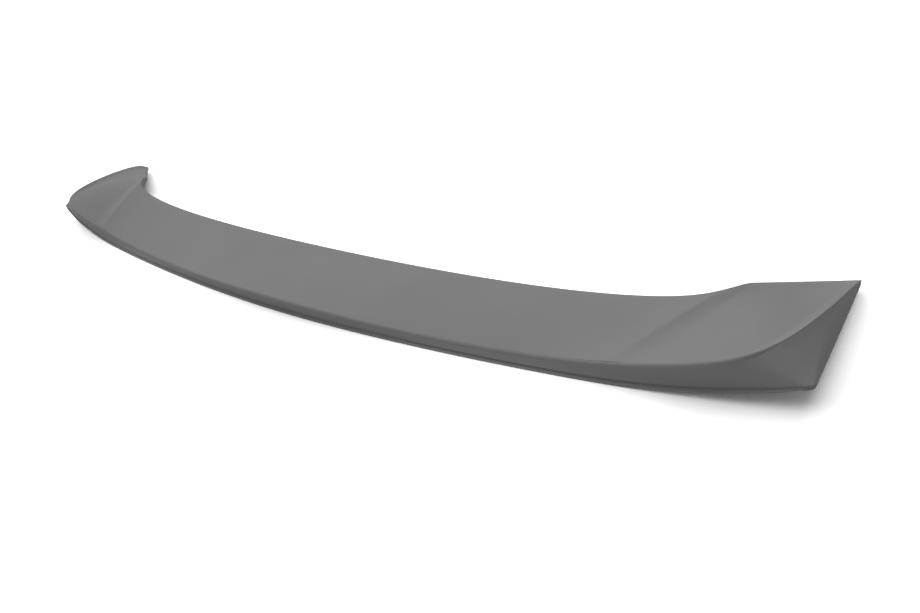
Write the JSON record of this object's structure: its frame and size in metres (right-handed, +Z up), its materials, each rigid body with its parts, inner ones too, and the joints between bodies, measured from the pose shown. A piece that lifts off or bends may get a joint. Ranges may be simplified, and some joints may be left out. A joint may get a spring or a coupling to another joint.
{
  "type": "trunk spoiler",
  "caption": "Lip trunk spoiler with a swept blade, folded upturned ears, a rear lip and a ribbed underside with screw pads.",
  "frame": {"origin": "middle of the footprint, on the plane of the seating face", "axes": "+X along the span to the right, +Y to the front of the car, +Z up from the seating face"},
  "size_m": [1.2, 0.2364, 0.0527],
  "materials": {
    "primer": "matte grey primer over moulded plastic"
  },
  "bodies": {
    "root": {"spoiler_shell": "primer"}
  },
  "joints": []
}
